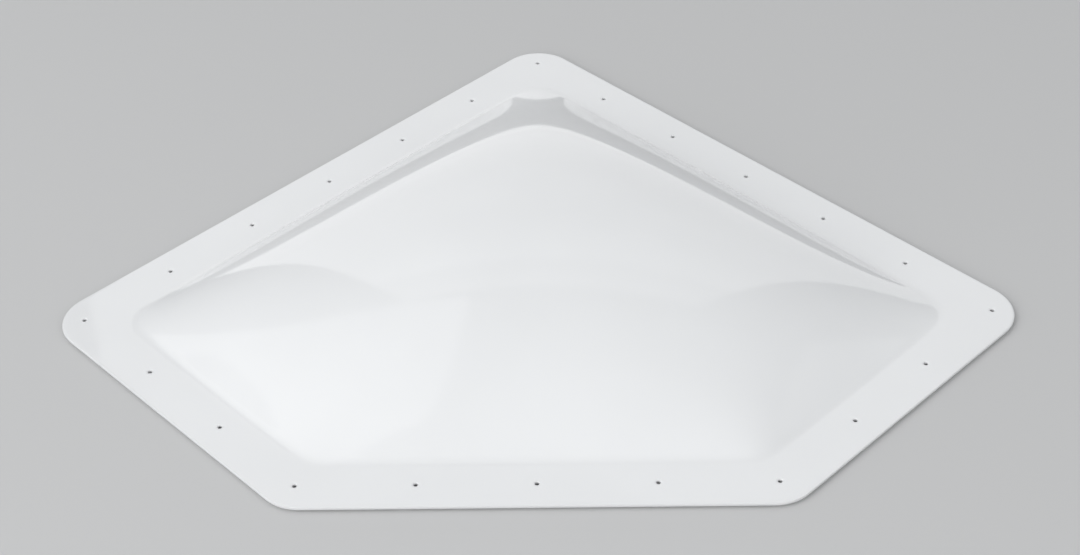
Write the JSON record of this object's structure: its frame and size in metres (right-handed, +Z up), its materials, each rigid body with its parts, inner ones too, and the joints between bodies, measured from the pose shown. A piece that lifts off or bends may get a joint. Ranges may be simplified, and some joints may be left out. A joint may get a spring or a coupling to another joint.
{
  "type": "neo-angle roof skylight",
  "caption": "Five-sided roof skylight for a caravan's corner shower: one blown dome of glossy white acrylic with a flat screw flange, bedded on strips of sealing tape.",
  "frame": {"origin": "on the roof plane under the sealing tape, below the middle of the skylight's overall length and width", "axes": "+Y towards the square apex corner where the two long sides meet, +X along the straight front side to the right seen from the front, +Z up out of the roof"},
  "size_m": [0.9688, 0.7507, 0.0953],
  "materials": {
    "white_acrylic": "glossy",
    "sealing_tape": "matt"
  },
  "bodies": {
    "root": {"dome_sheet": "white_acrylic", "sealing_tape_far_left": "sealing_tape", "sealing_tape_far_right": "sealing_tape", "sealing_tape_near_left": "sealing_tape", "sealing_tape_near_right": "sealing_tape", "sealing_tape_front": "sealing_tape"}
  },
  "joints": []
}
